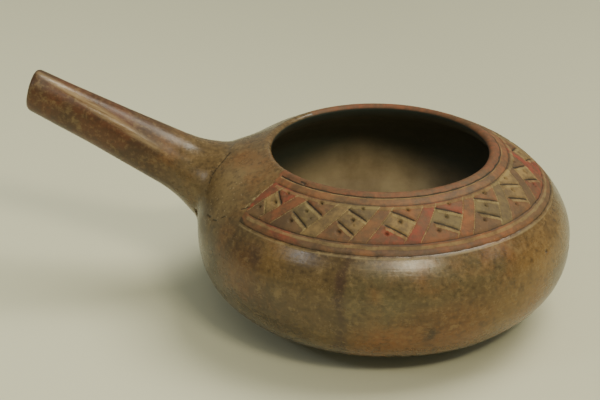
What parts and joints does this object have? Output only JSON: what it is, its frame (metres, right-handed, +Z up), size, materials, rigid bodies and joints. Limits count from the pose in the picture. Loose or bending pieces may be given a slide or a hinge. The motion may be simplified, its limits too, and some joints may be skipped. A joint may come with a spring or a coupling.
{
  "type": "handled dipper bowl",
  "caption": "Low round clay dipper bowl with one straight rising handle and an incised, slip-painted frieze on its shoulder.",
  "frame": {"origin": "centre of the flattened base's underside, on the bowl's axis", "axes": "+Z up along the bowl's axis, -X towards the side on which the handle leaves the bowl"},
  "size_m": [0.2794, 0.1894, 0.1176],
  "materials": {
    "clay": "burnished, worn"
  },
  "bodies": {
    "root": {"vessel": "clay"}
  },
  "joints": []
}
